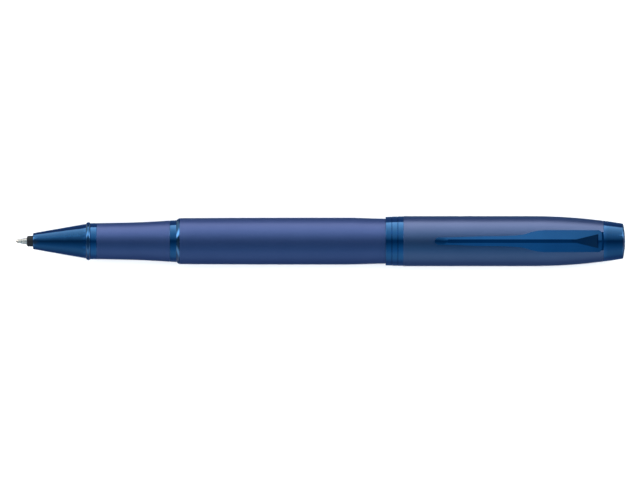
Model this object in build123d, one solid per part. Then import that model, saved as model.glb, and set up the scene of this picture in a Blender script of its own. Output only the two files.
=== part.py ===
"""Rollerball pen with its cap posted on the barrel, one solid per real piece.

Every piece is drawn in millimetres on the pen's own axis: X is the station measured from the
writing tip towards the finial, and the radius is measured from the axis.  Z is the clip side.
The last lines place the finished pieces so that the pen lies on the ground, centred in X and Y.
"""

import os

from build123d import *

# ---- whole pen ----
PEN_LENGTH = 155.2
CAP_RADIUS = 6.375

# ---- refill ----
BALL_RADIUS = 0.35
BALL_PLAY = 0.02
POINT_BASE = 2.75
POINT_RADIUS = 0.85
POINT_END = 7.0
WICK_RADIUS = 0.55
WICK_START = 2.2
WICK_END = 32.0
HOLDER_TIP_RADIUS = 1.38
HOLDER_NECK_RADIUS = 2.1
HOLDER_STEP = 8.0
HOLDER_FLANGE = 14.0
TUBE_START = 18.0
TUBE_END = 108.0
TUBE_RADIUS = 3.0
TUBE_BORE = 2.6
REFILL_END = 110.0

# ---- writing section ----
NOSE_TIP = 4.4
NOSE_TIP_RADIUS = 2.05
NOSE_BORE = 1.45
NOSE_BASE = 17.8
NOSE_BASE_RADIUS = 4.385
BEAD_START = 17.95
BEAD_PEAK = 18.5
BEAD_END = 19.05
BEAD_RADIUS = 4.84
GRIP_START = 20.7
GRIP_START_RADIUS = 4.585
GRIP_END = 39.3
GRIP_END_RADIUS = 5.235
GRIP_RING_END = 40.96
GRIP_RING_RADIUS = 5.36
LINER_RADIUS = 4.0
LINER_BORE = 3.2
LINER_START = 25.1
LINER_END = 52.0

# ---- thread between section and barrel ----
THREAD_PITCH = 0.75
THREAD_CREST = 4.8
THREAD_CORE = 4.4
THREAD_START = 43.0
THREAD_END = 50.0
BUSH_START = 45.6
BUSH_END = 52.4
BUSH_BORE = 4.86

# ---- barrel ----
BARREL_RING_START = 41.0
BARREL_START = 41.8
BARREL_FRONT_RADIUS = 5.86
BARREL_RADIUS = 5.965
BARREL_END = 113.4
BARREL_END_RADIUS = 5.6
BARREL_FRONT_BORE = 5.45
BARREL_BORE = 5.3
STUB_RADIUS = 4.8
STUB_END = 120.0
SPRING_START = 110.05
SPRING_END = 116.05
SPRING_WIRE = 0.45
SPRING_RADIUS = 2.25

# ---- cap ----
CAP_MOUTH = 94.2
BAND_END = 98.75
BAND_BORE = 5.81
SHELL_BORE = 5.98
SHELL_TAPER = 131.5
SHELL_END = 149.6
SHELL_END_RADIUS = 5.205
SHELL_REAR_BORE = 4.8
INNER_CAP_START = 113.7
INNER_CAP_WALL = 143.0
INNER_CAP_END = 144.5
FINIAL_EDGE = 154.7
FINIAL_EDGE_RADIUS = 4.49
SCREW_RADIUS = 1.25
SCREW_END = 151.0

# ---- clip ----
CLIP_TIP = 106.7
CLIP_TIP_WIDTH = 1.9
CLIP_BAR_WIDTH = 2.9
CLIP_ROOT_WIDTH = 5.6
CLIP_ROOT = 149.1
CLIP_FACET = 0.8
CLIP_SLOPE = 0.3
CHANNEL_START = 110.0
CHANNEL_WIDTH = 0.9
CHANNEL_DEPTH = 0.15
RECESS_START = 142.6
RECESS_END = 148.2
RECESS_WIDTH = 3.6
RECESS_DEPTH = 0.65
# station, width, height of the facet above the axis, thickness
CLIP_SECTIONS = (
    (CLIP_TIP, CLIP_TIP_WIDTH, 7.20, 0.45),
    (109.0, CLIP_TIP_WIDTH, 7.62, 0.70),
    (113.0, 2.1, 8.02, 0.80),
    (118.0, 2.45, 8.31, 0.86),
    (123.5, 2.55, 8.46, 0.91),
    (127.5, CLIP_BAR_WIDTH, 8.48, 0.95),
    (129.2, 3.35, 8.47, 0.97),
    (131.2, 4.60, 8.44, 1.05),
    (132.9, 5.35, 8.40, 1.10),
    (134.6, CLIP_ROOT_WIDTH, 8.34, 1.15),
    (141.0, CLIP_ROOT_WIDTH, 7.98, 1.30),
    (146.5, CLIP_ROOT_WIDTH, 7.52, 1.45),
    (CLIP_ROOT, CLIP_ROOT_WIDTH, 7.16, 1.50),
)
LEG_WIDTH = 4.4
LEG_THICKNESS = 1.2
LEG_HEIGHT = 3.8
POCKET_WIDTH = 4.7
POCKET_START = 147.7
POCKET_FLOOR = 3.1


def turned(*edges):
    """Solid of revolution about the pen axis from a closed run of edges."""
    return revolve(make_face(Curve() + list(edges)), Axis.X)


def lathe(*corners):
    """Solid of revolution about the pen axis from (station, radius) corners."""
    return turned(Polyline(*corners, close=True))


def rod(start, end, radius):
    """Round bar along the pen axis."""
    return Pos((start + end) / 2, 0, 0) * Rot(0, 90, 0) * Cylinder(radius, end - start)


def block(start, end, width, low, high):
    """Box between two stations, centred on the clip plane."""
    centre = Pos((start + end) / 2, 0, (low + high) / 2)
    return centre * Box(end - start, width, high - low)


def soften(solid, radius, *rims):
    """Round the circular rims found nearest to the given (station, radius) pairs."""
    edges = []
    for station, distance in rims:
        circles = solid.edges().filter_by(GeomType.CIRCLE)
        edges.append(circles.sort_by(lambda e: abs(e.arc_center.X - station) + abs(e.radius - distance))[0])
    return fillet(edges, radius)


def thread_ridge(start, end, core, crest, pitch):
    """Helical ridge of a male thread, rooted slightly inside its core."""
    root = core - 0.05
    path = Helix(pitch, end - start, root, center=(start, 0, 0), direction=(1, 0, 0))
    corners = ((0, -0.42), (0, 0.42), (crest - root, 0.1), (crest - root, -0.1))
    profile = Polyline(*[(r, s * pitch) for r, s in corners], close=True)
    outward = (path @ 0) - Vector(start, 0, 0)
    plane = Plane(origin=path @ 0, x_dir=outward, z_dir=path % 0)
    return sweep(plane * make_face(profile), path=path, is_frenet=True)


# ---- refill ----


def writing_ball():
    return Pos(BALL_RADIUS, 0, 0) * Sphere(BALL_RADIUS)


def point_cone():
    """Steel point: socket for the ball, ink feed and a long stem held in the tip holder."""
    body = lathe(
        (0.22, 0),
        (0.22, 0.40),
        (0.5, 0.52),
        (POINT_BASE, POINT_RADIUS),
        (POINT_END, POINT_RADIUS),
        (POINT_END, 0),
    )
    body -= Pos(BALL_RADIUS, 0, 0) * Sphere(BALL_RADIUS + BALL_PLAY)
    body -= rod(BALL_RADIUS, WICK_START, 0.15)
    return body - rod(WICK_START - 0.05, POINT_END, WICK_RADIUS + 0.03)


def feed_wick():
    return rod(WICK_START, WICK_END, WICK_RADIUS)


def tip_holder():
    """Plastic holder: slim tip, stepped neck, flange the tube butts against, and a spigot."""
    bore = POINT_RADIUS + 0.01
    wick_bore = WICK_RADIUS + 0.03
    return lathe(
        (POINT_BASE + 0.1, bore),
        (POINT_BASE + 0.1, 1.1),
        (POINT_BASE + 0.35, HOLDER_TIP_RADIUS),
        (HOLDER_STEP, HOLDER_TIP_RADIUS),
        (HOLDER_STEP, HOLDER_NECK_RADIUS - 0.2),
        (HOLDER_STEP + 0.2, HOLDER_NECK_RADIUS),
        (HOLDER_FLANGE, HOLDER_NECK_RADIUS),
        (HOLDER_FLANGE, TUBE_RADIUS - 0.3),
        (HOLDER_FLANGE + 0.3, TUBE_RADIUS),
        (TUBE_START, TUBE_RADIUS),
        (TUBE_START, TUBE_BORE - 0.02),
        (TUBE_START + 6, TUBE_BORE - 0.02),
        (TUBE_START + 6, wick_bore),
        (POINT_END, wick_bore),
        (POINT_END, bore),
    )


def refill_tube():
    return rod(TUBE_START, TUBE_END, TUBE_RADIUS) - rod(TUBE_START, TUBE_END, TUBE_BORE)


def ink_reservoir():
    """Felt ink store with a blind bore for the wick."""
    felt = rod(TUBE_START + 8, TUBE_END - 4, TUBE_BORE - 0.05)
    return felt - rod(TUBE_START + 8, WICK_END + 1, WICK_RADIUS + 0.03)


def refill_end_plug():
    """Plug with a rim on the tube's end and a vent through it."""
    plug = lathe(
        (TUBE_END - 3.5, 0.4),
        (TUBE_END - 3.5, TUBE_BORE - 0.02),
        (TUBE_END, TUBE_BORE - 0.02),
        (TUBE_END, TUBE_RADIUS),
        (REFILL_END, TUBE_RADIUS),
        (REFILL_END, 0.4),
    )
    return soften(plug, 0.25, (REFILL_END, TUBE_RADIUS))


def refill_spring():
    """Compression spring between the refill's end and the floor of the end plug's cup."""
    turns = 5.25
    length = SPRING_END - SPRING_START - SPRING_WIRE
    first = SPRING_START + SPRING_WIRE / 2
    path = Helix(length / turns, length, SPRING_RADIUS, center=(first, 0, 0), direction=(1, 0, 0))
    plane = Plane(origin=path @ 0, z_dir=path % 0)
    return sweep(plane * Circle(SPRING_WIRE / 2), path=path, is_frenet=True)


# ---- writing section ----


def nose_cone():
    """Cone, round bead and collar in one piece, with stepped bores for the refill's steps."""
    cone = turned(
        Polyline(
            (BEAD_END, 4.5),
            (BEAD_END + 0.05, GRIP_START_RADIUS),
            (GRIP_START, GRIP_START_RADIUS),
            (GRIP_START, 3.8),
            (LINER_START - 0.1, 3.8),
            (LINER_START - 0.1, 3.15),
            (HOLDER_FLANGE - 0.1, 3.15),
            (HOLDER_FLANGE - 0.1, 2.2),
            (HOLDER_STEP - 0.1, 2.2),
            (HOLDER_STEP - 0.1, NOSE_BORE),
            (NOSE_TIP, NOSE_BORE),
            (NOSE_TIP, NOSE_TIP_RADIUS),
            (NOSE_BASE, NOSE_BASE_RADIUS),
            (BEAD_START, 4.36),
        ),
        ThreePointArc((BEAD_START, 4.36), (BEAD_PEAK, BEAD_RADIUS), (BEAD_END, 4.5)),
    )
    cone = soften(cone, 0.3, (NOSE_TIP, NOSE_TIP_RADIUS))
    return soften(cone, 0.07, (GRIP_START, GRIP_START_RADIUS))


def grip_shell():
    """Flared sleeve: its waist is just behind the collar and it widens towards the barrel."""
    outside = Spline(
        (GRIP_START, GRIP_START_RADIUS), (26, 4.675), (32.2, 4.85), (36, 5.04), (GRIP_END, GRIP_END_RADIUS)
    )
    inside = Polyline(
        (GRIP_END, GRIP_END_RADIUS),
        (GRIP_END, LINER_RADIUS + 0.02),
        (LINER_START, LINER_RADIUS + 0.02),
        (LINER_START, 3.82),
        (GRIP_START, 3.82),
        (GRIP_START, GRIP_START_RADIUS),
    )
    shell = turned(outside, inside)
    return soften(shell, 0.06, (GRIP_START, GRIP_START_RADIUS), (GRIP_END, GRIP_END_RADIUS))


def grip_ring():
    ring = lathe(
        (GRIP_END, LINER_RADIUS + 0.02),
        (GRIP_END, GRIP_END_RADIUS),
        (GRIP_RING_END, GRIP_RING_RADIUS),
        (GRIP_RING_END, LINER_RADIUS + 0.02),
    )
    return soften(ring, 0.05, (GRIP_END, GRIP_END_RADIUS), (GRIP_RING_END, GRIP_RING_RADIUS))


def section_liner():
    """Liner inside the grip: shoulder behind the ring, male thread, and a lead-in pilot."""
    body = lathe(
        (LINER_START, LINER_BORE),
        (LINER_START, LINER_RADIUS),
        (GRIP_RING_END, LINER_RADIUS),
        (GRIP_RING_END, 4.75),
        (GRIP_RING_END + 0.9, 4.75),
        (GRIP_RING_END + 0.9, THREAD_CORE - 0.1),
        (THREAD_START - 0.5, THREAD_CORE - 0.1),
        (THREAD_START - 0.4, THREAD_CORE),
        (THREAD_END + 0.5, THREAD_CORE),
        (THREAD_END + 0.8, 4.2),
        (LINER_END, 4.2),
        (LINER_END, LINER_BORE),
    )
    return body + thread_ridge(THREAD_START, THREAD_END, THREAD_CORE, THREAD_CREST, THREAD_PITCH)


# ---- barrel ----


def barrel_ring():
    """Chamfered trim ring at the barrel's mouth, with a spigot inside the shell."""
    ring = lathe(
        (BARREL_RING_START, 4.9),
        (BARREL_RING_START, 5.375),
        (41.5, 5.77),
        (BARREL_START, BARREL_FRONT_RADIUS),
        (BARREL_START, BARREL_FRONT_BORE - 0.02),
        (45.5, BARREL_FRONT_BORE - 0.02),
        (45.5, 4.9),
    )
    return soften(ring, 0.05, (BARREL_START, BARREL_FRONT_RADIUS))


def barrel_shell():
    """Lacquered tube: swells gently, then narrows where the posted cap grips it."""
    front = (BARREL_START, BARREL_FRONT_RADIUS)
    swell = Spline(front, (56, 5.93), (72, BARREL_RADIUS), tangents=[(14, 0.09), (1, 0)])
    middle = Line((72, BARREL_RADIUS), (84, BARREL_RADIUS))
    shoulder = Spline((84, BARREL_RADIUS), (88.7, 5.865), (93.3, 5.745), tangents=[(1, 0), (20, -0.145)])
    rest = Polyline(
        (93.3, 5.745),
        (BARREL_END, BARREL_END_RADIUS),
        (BARREL_END, BARREL_BORE),
        (BUSH_END + 0.1, BARREL_BORE),
        (BUSH_END + 0.1, BARREL_FRONT_BORE),
        (BARREL_START, BARREL_FRONT_BORE),
        front,
    )
    shell = turned(swell, middle, shoulder, rest)
    return soften(shell, 0.1, front, (BARREL_END, BARREL_END_RADIUS))


def thread_bush():
    """Brass bush that takes the section's thread."""
    bush = rod(BUSH_START, BUSH_END, BARREL_FRONT_BORE - 0.02) - rod(BUSH_START, BUSH_END, BUSH_BORE)
    return chamfer(bush.edges().filter_by(GeomType.CIRCLE), 0.15)


def barrel_end_plug():
    """Plug that closes the barrel: inner sleeve, rim, posting stub with a snap groove, spring cup."""
    plug = lathe(
        (103.4, 0),
        (103.4, BARREL_BORE - 0.02),
        (BARREL_END, BARREL_BORE - 0.02),
        (BARREL_END, 5.5),
        (BARREL_END + 0.2, 5.5),
        (BARREL_END + 0.2, STUB_RADIUS),
        (116.0, STUB_RADIUS),
        (116.3, STUB_RADIUS - 0.2),
        (117.0, STUB_RADIUS - 0.2),
        (117.3, STUB_RADIUS),
        (STUB_END, STUB_RADIUS),
        (STUB_END, 0),
    )
    plug = soften(plug, 1.2, (STUB_END, STUB_RADIUS))
    plug -= rod(103.4, 112.0, 3.2)
    return plug - rod(112.0, SPRING_END + 0.05, 2.7)


# ---- cap ----


def cap_band():
    """Band with three ribs at the cap's mouth; a spigot behind them carries the shell."""
    band = lathe(
        (CAP_MOUTH, BAND_BORE + 0.1),
        (CAP_MOUTH, 6.16),
        (95.7, 6.24),
        (95.78, 6.12),
        (95.86, 6.26),
        (97.22, 6.28),
        (97.30, 6.16),
        (97.38, 6.30),
        (BAND_END, 6.31),
        (BAND_END, SHELL_BORE - 0.01),
        (BAND_END + 5, SHELL_BORE - 0.01),
        (BAND_END + 5, BAND_BORE),
        (CAP_MOUTH + 0.2, BAND_BORE),
    )
    return soften(band, 0.1, (CAP_MOUTH, 6.16))


def cap_shell():
    """Lacquered cap tube with its curved taper and the notch that lets the clip's leg through."""
    straight = Line((BAND_END, CAP_RADIUS), (SHELL_TAPER, CAP_RADIUS))
    taper = TangentArc((SHELL_TAPER, CAP_RADIUS), (SHELL_END, SHELL_END_RADIUS), tangent=(1, 0))
    inside = Polyline(
        (SHELL_END, SHELL_END_RADIUS),
        (SHELL_END, SHELL_REAR_BORE),
        (146.0, SHELL_REAR_BORE),
        (146.0, 5.15),
        (SHELL_TAPER, SHELL_BORE),
        (BAND_END, SHELL_BORE),
        (BAND_END, CAP_RADIUS),
    )
    shell = turned(straight, taper, inside)
    shell = soften(shell, 0.06, (BAND_END, CAP_RADIUS), (SHELL_END, SHELL_END_RADIUS))
    return shell - block(POCKET_START, SHELL_END + 1, POCKET_WIDTH, 3.5, 7)


def inner_cap():
    """Sealing cup: flange in the shell, snap rib at its mouth, and a pierced end wall."""
    return lathe(
        (INNER_CAP_START, 5.93),
        (115.5, 5.93),
        (115.5, 5.5),
        (121.5, 5.5),
        (123.5, 5.1),
        (INNER_CAP_END, 5.1),
        (INNER_CAP_END, SCREW_RADIUS + 0.1),
        (INNER_CAP_WALL, SCREW_RADIUS + 0.1),
        (INNER_CAP_WALL, 4.55),
        (123.0, 4.55),
        (121.5, 4.95),
        (117.0, 4.95),
        (116.8, 4.87),
        (116.5, 4.87),
        (116.3, 4.95),
        (INNER_CAP_START + 0.2, 4.95),
        (INNER_CAP_START, 5.1),
    )


def finial():
    """End piece: spigot with the screw's bore and the clip's pocket, and a domed outer end."""
    side = RadiusArc((SHELL_END, SHELL_END_RADIUS), (FINIAL_EDGE, FINIAL_EDGE_RADIUS), 142)
    dome = ThreePointArc((FINIAL_EDGE, FINIAL_EDGE_RADIUS), (PEN_LENGTH - 0.12, 2.2), (PEN_LENGTH, 0))
    inside = Polyline(
        (PEN_LENGTH, 0),
        (144.6, 0),
        (144.6, SHELL_REAR_BORE - 0.02),
        (SHELL_END, SHELL_REAR_BORE - 0.02),
        (SHELL_END, SHELL_END_RADIUS),
    )
    end = turned(side, dome, inside)
    end = soften(end, 0.35, (FINIAL_EDGE, FINIAL_EDGE_RADIUS))
    end = soften(end, 0.06, (SHELL_END, SHELL_END_RADIUS))
    end -= rod(144.6, SCREW_END + 0.8, SCREW_RADIUS + 0.02)
    return end - block(POCKET_START, SHELL_END, POCKET_WIDTH, POCKET_FLOOR, 7)


def clip_screw():
    """Slotted screw that ties the inner cap's end wall and the shell to the finial."""
    head = rod(141.35, INNER_CAP_WALL - 0.05, 2.1) - block(141.3, 142.0, 0.6, -3, 3)
    shank = rod(INNER_CAP_WALL - 0.1, SCREW_END, SCREW_RADIUS - 0.25)
    return head + shank + thread_ridge(145.0, SCREW_END - 0.6, SCREW_RADIUS - 0.25, SCREW_RADIUS, 0.45)


# ---- clip ----


def clip_section(station, width, top, thickness):
    """One cross-section of the blade: flat facet along the middle, sloping sides, upright edges."""
    half = width / 2
    facet = CLIP_FACET / 2
    edge = top - CLIP_SLOPE * (half - facet)
    under = top - thickness
    corners = ((-half, under), (half, under), (half, edge), (facet, top), (-facet, top), (-half, edge))
    plane = Plane(origin=(station, 0, 0), x_dir=(0, 1, 0), z_dir=(1, 0, 0))
    return plane * make_face(Polyline(*corners, close=True))


def clip_blade():
    """Bowed blade, wide at the root, drawn in to a slim bar with a rounded end."""
    blade = loft([clip_section(*section) for section in CLIP_SECTIONS], ruled=True)
    reach = CLIP_ROOT - CLIP_TIP
    plan = Pos(CLIP_TIP + reach / 2, 0, 0) * Rectangle(reach, CLIP_ROOT_WIDTH)
    plan = fillet(plan.vertices().group_by(Axis.X)[-1], 0.9)
    plan -= Pos(CLIP_TIP + CLIP_TIP_WIDTH / 4, 0, 0) * Rectangle(CLIP_TIP_WIDTH / 2, 8)
    plan += Pos(CLIP_TIP + CLIP_TIP_WIDTH / 2, 0, 0) * Circle(CLIP_TIP_WIDTH / 2)
    return blade & extrude(plan, 10)


def facet_top(station):
    """Height of the clip's facet above the axis, between the two nearest sections."""
    for near, far in zip(CLIP_SECTIONS, CLIP_SECTIONS[1:]):
        if near[0] <= station <= far[0]:
            return near[2] + (far[2] - near[2]) * (station - near[0]) / (far[0] - near[0])


def above_line(*points):
    """Everything over a line drawn on the clip plane from (station, height) points."""
    face = make_face(Polyline(*points, (points[-1][0], 10), (points[0][0], 10), close=True))
    return extrude(Plane.XZ * face, 5, both=True)


def clip_channel():
    """Shallow centre channel, opening at the root into a wedge-shaped recess that deepens."""
    floor = [(station, top - CHANNEL_DEPTH) for station, width, top, thickness in CLIP_SECTIONS]
    channel = block(CHANNEL_START, RECESS_START + 0.1, CHANNEL_WIDTH, 5, 10) & above_line(*floor)
    near = CHANNEL_WIDTH / 2
    far = RECESS_WIDTH / 2
    corners = ((RECESS_START, near), (RECESS_END, far), (RECESS_END, -far), (RECESS_START, -near))
    wedge = make_face(Polyline(*corners, close=True))
    start = (RECESS_START, facet_top(RECESS_START) - CHANNEL_DEPTH)
    ramp = above_line(start, (RECESS_END, facet_top(RECESS_END) - RECESS_DEPTH))
    return channel, extrude(wedge, 12) & ramp


def clip():
    """One-piece clip: blade, pocket-catching bump under its tip, and the leg into the cap."""
    blade = clip_blade()
    for hollow in clip_channel():
        blade -= hollow
    bump = (Pos(109.4, 0, 7.4) * Sphere(0.95)) & block(108, 111, 3, 6, 7.2)
    pivot = CLIP_ROOT - LEG_THICKNESS / 2
    leg = block(CLIP_ROOT - LEG_THICKNESS, CLIP_ROOT, LEG_WIDTH, LEG_HEIGHT, 6.6)
    foot = Pos(pivot, 0, LEG_HEIGHT) * Rot(90, 0, 0) * Cylinder(LEG_THICKNESS / 2, LEG_WIDTH)
    return blade + bump + leg + foot


PIECES = (
    writing_ball,
    point_cone,
    feed_wick,
    tip_holder,
    refill_tube,
    ink_reservoir,
    refill_end_plug,
    refill_spring,
    nose_cone,
    grip_shell,
    grip_ring,
    section_liner,
    barrel_ring,
    barrel_shell,
    thread_bush,
    barrel_end_plug,
    cap_band,
    cap_shell,
    inner_cap,
    finial,
    clip_screw,
    clip,
)

os.makedirs("parts", exist_ok=True)
for piece in PIECES:
    solid = Pos(-PEN_LENGTH / 2, 0, CAP_RADIUS) * piece()
    export_step(solid, f"parts/{piece.__name__}.step")
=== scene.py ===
"""Looks of the posted rollerball pen: materials, a pale floor, studio light and the camera."""

import math

import bpy
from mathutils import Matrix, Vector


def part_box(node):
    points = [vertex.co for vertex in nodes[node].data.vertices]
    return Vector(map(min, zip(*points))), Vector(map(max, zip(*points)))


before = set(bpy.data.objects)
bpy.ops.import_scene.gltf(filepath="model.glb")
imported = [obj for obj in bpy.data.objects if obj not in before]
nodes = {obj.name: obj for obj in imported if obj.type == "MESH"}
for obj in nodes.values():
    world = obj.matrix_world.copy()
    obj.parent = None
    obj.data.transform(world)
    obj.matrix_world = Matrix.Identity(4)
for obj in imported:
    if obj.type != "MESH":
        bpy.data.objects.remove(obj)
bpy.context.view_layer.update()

AXIS_HEIGHT = sum(corner.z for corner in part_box("barrel_shell")) / 2
EDGE_ANGLE = math.radians(24)

FLOOR_REACH = 4.0
FLOOR_DROP = 0.00002

WORLD_STRENGTH = 8.0
ACROSS_PEAK = 1.45
ENDS_PEAK = 2.8
BACKDROP_GREY = 0.12

OVERHEAD_SIDE = 3.0
OVERHEAD_HEIGHT = 1.6
OVERHEAD_WATTS = 85

VIEW_WIDTH = 0.1630
VIEW_CENTRE = (-0.0001, 0.00029)
LENS_MM = 600
SENSOR_MM = 36


# ---- node helpers ----


class Shader:
    """A material's node tree with the few links that every material here shares."""

    def __init__(self, name):
        self.material = bpy.data.materials.new(name)
        self.material.use_nodes = True
        self.tree = self.material.node_tree
        self.bsdf = self.tree.nodes["Principled BSDF"]
        self.place = self.add("ShaderNodeTexCoord").outputs["Object"]

    def add(self, kind, **settings):
        node = self.tree.nodes.new(kind)
        for key, value in settings.items():
            setattr(node, key, value)
        return node

    def link(self, source, target):
        self.tree.links.new(source, target)

    def set(self, **values):
        for key, value in values.items():
            label = key.replace("_", " ").title().replace("Ior", "IOR")
            self.bsdf.inputs[label].default_value = value

    def stretched(self, scale):
        """Object coordinates scaled per axis, so that noise can follow a machining direction."""
        mapping = self.add("ShaderNodeMapping")
        mapping.inputs["Scale"].default_value = scale
        self.link(self.place, mapping.inputs["Vector"])
        return mapping.outputs["Vector"]

    def noise(self, scale, detail=2.0, roughness=0.5, vector=None):
        node = self.add("ShaderNodeTexNoise")
        node.inputs["Scale"].default_value = scale
        node.inputs["Detail"].default_value = detail
        node.inputs["Roughness"].default_value = roughness
        self.link(vector or self.place, node.inputs["Vector"])
        return node.outputs["Fac"]

    def cells(self, scale):
        node = self.add("ShaderNodeTexVoronoi")
        node.inputs["Scale"].default_value = scale
        self.link(self.place, node.inputs["Vector"])
        return node

    def ranged(self, value, low, high):
        node = self.add("ShaderNodeMapRange")
        node.inputs["From Min"].default_value = 0.3
        node.inputs["From Max"].default_value = 0.7
        node.inputs["To Min"].default_value = low
        node.inputs["To Max"].default_value = high
        self.link(value, node.inputs["Value"])
        return node.outputs["Result"]

    def mixed(self, factor, dark, light):
        node = self.add("ShaderNodeMix", data_type="RGBA")
        node.inputs["A"].default_value = (*dark, 1)
        node.inputs["B"].default_value = (*light, 1)
        self.link(factor, node.inputs["Factor"])
        return node.outputs["Result"]

    def bump(self, height, distance, strength=1.0, after=None):
        node = self.add("ShaderNodeBump")
        node.inputs["Strength"].default_value = strength
        node.inputs["Distance"].default_value = distance
        self.link(height, node.inputs["Height"])
        if after:
            self.link(after, node.inputs["Normal"])
        return node.outputs["Normal"]


# ---- materials ----


def satin_lacquer(name, dark, light, roughness):
    """Fine metallic flake under a satin clear coat."""
    s = Shader(name)
    s.set(metallic=1.0, coat_weight=0.6, coat_roughness=0.30, coat_ior=1.5)
    flake = s.cells(26000)
    patch = s.ranged(s.noise(140, 3), 0.0, 1.0)
    s.link(s.mixed(patch, dark, light), s.bsdf.inputs["Base Color"])
    sheen = s.ranged(flake.outputs["Color"], roughness - 0.04, roughness + 0.04)
    s.link(sheen, s.bsdf.inputs["Roughness"])
    grain = s.bump(flake.outputs["Distance"], 0.000002, 0.25)
    s.link(s.bump(s.noise(1900, 2), 0.000004, 0.2, grain), s.bsdf.inputs["Normal"])
    return s.material


def gloss_lacquer(name, dark, light):
    """Deep clear blue over turned metal: a soft metal glow beneath a sharp coat."""
    s = Shader(name)
    s.set(metallic=1.0, coat_weight=0.8, coat_roughness=0.04, coat_ior=1.5)
    turned = s.stretched((9000, 40, 40))
    lines = s.noise(1.0, 3, 0.6, turned)
    s.link(s.mixed(s.ranged(s.noise(260, 2), 0, 1), dark, light), s.bsdf.inputs["Base Color"])
    s.link(s.ranged(lines, 0.09, 0.15), s.bsdf.inputs["Roughness"])
    s.link(s.bump(lines, 0.0000008, 0.3), s.bsdf.inputs["Normal"])
    s.link(s.bump(s.noise(900, 2), 0.000003, 0.15), s.bsdf.inputs["Coat Normal"])
    return s.material


def turned_metal(name, dark, light, roughness, scale=(14000, 60, 60), metallic=1.0):
    """Bare metal with fine rings left by the lathe."""
    s = Shader(name)
    s.set(metallic=metallic)
    lines = s.noise(1.0, 4, 0.6, s.stretched(scale))
    s.link(s.mixed(s.ranged(lines, 0, 1), dark, light), s.bsdf.inputs["Base Color"])
    s.link(s.ranged(lines, roughness - 0.05, roughness + 0.06), s.bsdf.inputs["Roughness"])
    s.link(s.bump(lines, 0.000001, 0.35), s.bsdf.inputs["Normal"])
    return s.material


def moulded_plastic(name, dark, light, roughness, grain=9000):
    """Moulded plastic with a spark-eroded grain."""
    s = Shader(name)
    s.set(ior=1.49)
    fine = s.noise(grain, 3)
    s.link(s.mixed(s.ranged(s.noise(400, 2), 0, 1), dark, light), s.bsdf.inputs["Base Color"])
    s.link(s.ranged(fine, roughness - 0.06, roughness + 0.08), s.bsdf.inputs["Roughness"])
    s.link(s.bump(fine, 0.000004, 0.3), s.bsdf.inputs["Normal"])
    return s.material


def felt(name, dark, light):
    """Compressed fibre running along the pen."""
    s = Shader(name)
    s.set(roughness=0.95, sheen_weight=0.3)
    fibre = s.noise(1.0, 5, 0.7, s.stretched((500, 6000, 6000)))
    s.link(s.mixed(s.ranged(fibre, 0, 1), dark, light), s.bsdf.inputs["Base Color"])
    s.link(s.bump(fibre, 0.00003, 0.6), s.bsdf.inputs["Normal"])
    return s.material


def dress(material, *names):
    for name in names:
        for material_slot in nodes[name].material_slots:
            material_slot.material = material


def even_shading(*names):
    """Broad faces keep their own direction, so an edge's glint stays on the edge."""
    for name in names:
        modifiers = nodes[name].modifiers
        modifiers.new("joined_faces", "WELD").merge_threshold = 1e-7
        modifiers.new("sharp_edges", "EDGE_SPLIT").split_angle = EDGE_ANGLE
        modifiers.new("even_shading", "WEIGHTED_NORMAL").weight = 90


barrel_blue = satin_lacquer("satin_blue_barrel", (0.125, 0.176, 0.42), (0.135, 0.188, 0.44), 0.50)
cap_blue = satin_lacquer("satin_blue_cap", (0.166, 0.212, 0.40), (0.178, 0.225, 0.42), 0.38)
gloss_blue = gloss_lacquer("gloss_blue", (0.038, 0.170, 0.40), (0.042, 0.182, 0.42))
# The clip's blue is the gloss blue made about 15% lighter: painted light that stands in for the light on
# its facets.
clip_blue_painted_brighter = gloss_lacquer("gloss_blue_clip_painted_brighter", (0.046, 0.200, 0.47), (0.052, 0.215, 0.49))
steel = turned_metal("point_steel", (0.70, 0.64, 0.57), (0.92, 0.85, 0.76), 0.24, metallic=0.85)
wire = turned_metal("spring_steel", (0.40, 0.40, 0.41), (0.55, 0.55, 0.56), 0.28, (2000, 9000, 9000))
carbide = turned_metal("ball_hard", (0.50, 0.50, 0.52), (0.58, 0.58, 0.60), 0.10, (9000, 9000, 9000))
brass = turned_metal("bush_brass", (0.62, 0.42, 0.16), (0.78, 0.56, 0.25), 0.25)
holder_black = moulded_plastic("holder_black", (0.006, 0.006, 0.007), (0.010, 0.010, 0.011), 0.34)
liner_black = moulded_plastic("liner_black", (0.008, 0.008, 0.010), (0.014, 0.014, 0.016), 0.22)
inner_black = moulded_plastic("inner_black", (0.016, 0.016, 0.018), (0.024, 0.024, 0.026), 0.55)
tube_white = moulded_plastic("tube_white", (0.74, 0.75, 0.73), (0.82, 0.82, 0.80), 0.25)
wick_felt = felt("wick_felt", (0.012, 0.012, 0.03), (0.05, 0.05, 0.08))

dress(barrel_blue, "barrel_shell", "grip_shell")
dress(cap_blue, "cap_shell")
dress(gloss_blue, "nose_cone", "grip_ring", "barrel_ring", "cap_band", "finial")
dress(clip_blue_painted_brighter, "clip")
dress(steel, "point_cone", "clip_screw")
dress(wire, "refill_spring")
dress(carbide, "writing_ball")
dress(brass, "thread_bush")
dress(holder_black, "tip_holder", "refill_end_plug")
dress(liner_black, "section_liner", "barrel_end_plug")
dress(inner_black, "inner_cap")
dress(tube_white, "refill_tube")
dress(wick_felt, "feed_wick", "ink_reservoir")

even_shading("nose_cone", "grip_ring", "barrel_ring", "cap_band", "finial", "clip")
even_shading("tip_holder", "point_cone")


# ---- floor, light and camera ----


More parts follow.
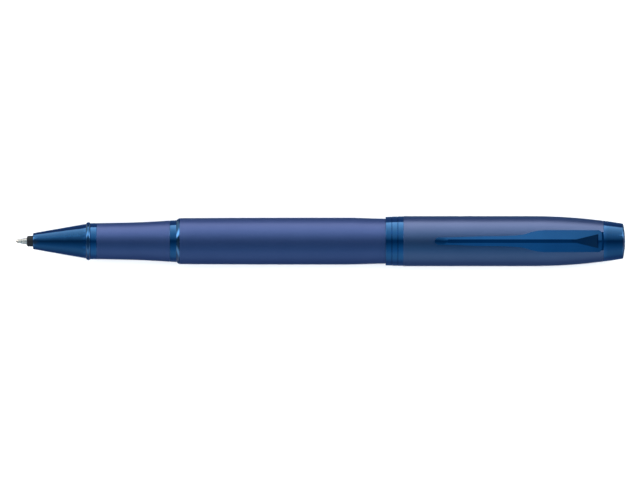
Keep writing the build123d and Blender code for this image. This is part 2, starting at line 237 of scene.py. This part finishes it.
def make_floor():
    mesh = bpy.data.meshes.new("floor")
    corners = [(x * FLOOR_REACH, y * FLOOR_REACH, 0) for x, y in ((-1, -1), (1, -1), (1, 1), (-1, 1))]
    mesh.from_pydata(corners, [], [(0, 1, 2, 3)])
    floor = bpy.data.objects.new("floor", mesh)
    floor.location.z = -FLOOR_DROP
    bpy.context.scene.collection.objects.link(floor)
    s = Shader("floor_paper")
    s.set(roughness=0.9, specular_ior_level=0.1)
    paper = s.mixed(s.ranged(s.noise(30, 4), 0, 1), (0.93, 0.93, 0.93), (0.95, 0.95, 0.95))
    s.link(paper, s.bsdf.inputs["Base Color"])
    floor.data.materials.append(s.material)
    floor.visible_glossy = False


def ramp(tree, value, stops):
    """Colour ramp from (position, (red, green, blue)) stops."""
    node = tree.nodes.new("ShaderNodeValToRGB")
    tree.links.new(value, node.inputs[0])
    elements = node.color_ramp.elements
    while len(elements) < len(stops):
        elements.new(0.5)
    for element, (position, colour) in zip(elements, stops):
        element.position = position
        element.color = (*colour, 1)
    return node.outputs["Color"]


def round_the_pen(tree, angle, peak, stops):
    """Brightness round the pen: degrees from straight up, level, red and green against blue."""
    scaled = []
    for degrees, level, red, green in stops:
        blue = peak * level / WORLD_STRENGTH
        scaled.append(((degrees + 180) / 360, (blue * red, blue * green, blue)))
    return ramp(tree, angle, scaled)


def studio_world():
    """Long softbox on the +Y side, a weaker blue card opposite, and lamps beyond the pen's ends."""
    world = bpy.data.worlds.new("studio")
    bpy.context.scene.world = world
    world.use_nodes = True
    tree = world.node_tree
    direction = tree.nodes.new("ShaderNodeTexCoord").outputs["Generated"]
    split = tree.nodes.new("ShaderNodeSeparateXYZ")
    tree.links.new(direction, split.inputs[0])
    angle = tree.nodes.new("ShaderNodeMath")
    angle.operation = "ARCTAN2"
    tree.links.new(split.outputs["Y"], angle.inputs[0])
    tree.links.new(split.outputs["Z"], angle.inputs[1])
    turn = tree.nodes.new("ShaderNodeMapRange")
    turn.inputs["From Min"].default_value = -math.pi
    turn.inputs["From Max"].default_value = math.pi
    tree.links.new(angle.outputs[0], turn.inputs["Value"])
    across = round_the_pen(tree, turn.outputs["Result"], ACROSS_PEAK, (
        (-180, 0.17, 0.25, 0.50), (-121, 0.16, 0.25, 0.50), (-104, 0.24, 0.32, 0.64),
        (-90, 0.31, 0.42, 0.77), (-66, 0.35, 0.41, 0.77), (-45, 0.30, 0.21, 0.66),
        (-25, 0.21, 0.12, 0.61), (-6, 0.12, 0.03, 0.53), (3, 0.11, 0.01, 0.50),
        (12, 0.22, 0.23, 0.68), (22, 0.32, 0.35, 0.74), (41, 0.46, 0.46, 0.79),
        (51, 0.52, 0.65, 0.87), (62, 0.62, 0.78, 0.92), (75, 0.80, 0.85, 0.95),
        (96, 1.02, 1, 1), (99, 0.95, 1, 1), (102, 0.19, 0.25, 0.50), (180, 0.17, 0.25, 0.50),
    ))
    ends = round_the_pen(tree, turn.outputs["Result"], ENDS_PEAK, (
        (-180, 0.06, 1, 0.8), (-100, 0.12, 1, 0.9), (-85, 0.30, 1, 1), (-65, 0.28, 1, 1),
        (-45, 0.06, 0.8, 0.9), (15, 0.03, 0.7, 0.9), (32, 0.06, 1, 1), (38, 0.54, 1, 1), (46, 1.0, 1, 1),
        (64, 1.0, 1, 1), (72, 0.5, 1, 1), (85, 0.22, 0.9, 1), (140, 0.12, 0.8, 1), (180, 0.06, 1, 0.8),
    ))
    sideways = tree.nodes.new("ShaderNodeMath")
    sideways.operation = "ABSOLUTE"
    tree.links.new(split.outputs["X"], sideways.inputs[0])
    fade = ramp(tree, sideways.outputs[0], ((0.08, (1, 1, 1)), (0.26, (0.7, 0.7, 0.7))))
    dimmed = tree.nodes.new("ShaderNodeVectorMath")
    dimmed.operation = "MULTIPLY"
    tree.links.new(across, dimmed.inputs[0])
    tree.links.new(fade, dimmed.inputs[1])
    share = ramp(tree, sideways.outputs[0], (
        (0.36, (0, 0, 0)), (0.43, (1, 1, 1)), (0.93, (1, 1, 1)), (0.98, (0, 0, 0)),
    ))
    lit = tree.nodes.new("ShaderNodeMix")
    lit.data_type = "RGBA"
    tree.links.new(share, lit.inputs["Factor"])
    tree.links.new(dimmed.outputs[0], lit.inputs["A"])
    tree.links.new(ends, lit.inputs["B"])
    seen = tree.nodes.new("ShaderNodeMix")
    seen.data_type = "RGBA"
    from_camera = tree.nodes.new("ShaderNodeLightPath").outputs["Is Camera Ray"]
    tree.links.new(from_camera, seen.inputs["Factor"])
    tree.links.new(lit.outputs["Result"], seen.inputs["A"])
    seen.inputs["B"].default_value = (BACKDROP_GREY, BACKDROP_GREY, BACKDROP_GREY, 1)
    background = tree.nodes["Background"]
    tree.links.new(seen.outputs["Result"], background.inputs["Color"])
    background.inputs["Strength"].default_value = WORLD_STRENGTH


def overhead_light():
    """Broad overhead light that whitens the floor; the pen's gloss doesn't mirror it."""
    data = bpy.data.lights.new("overhead", "AREA")
    data.shape = "RECTANGLE"
    data.size = OVERHEAD_SIDE
    data.size_y = OVERHEAD_SIDE
    data.energy = OVERHEAD_WATTS
    light = bpy.data.objects.new("overhead", data)
    light.location = (0, 0, OVERHEAD_HEIGHT)
    light.visible_glossy = False
    light.visible_camera = False
    bpy.context.scene.collection.objects.link(light)


def photo_camera():
    """Straight down on the pen, writing tip to the left, on a long lens."""
    data = bpy.data.cameras.new("camera")
    data.lens = LENS_MM
    data.sensor_width = SENSOR_MM
    camera = bpy.data.objects.new("camera", data)
    camera.location = (*VIEW_CENTRE, AXIS_HEIGHT + VIEW_WIDTH * LENS_MM / SENSOR_MM)
    camera.rotation_euler = (0, 0, 0)
    bpy.context.scene.collection.objects.link(camera)
    bpy.context.scene.camera = camera


make_floor()
studio_world()
overhead_light()
photo_camera()
bpy.context.scene.view_settings.view_transform = "Standard"
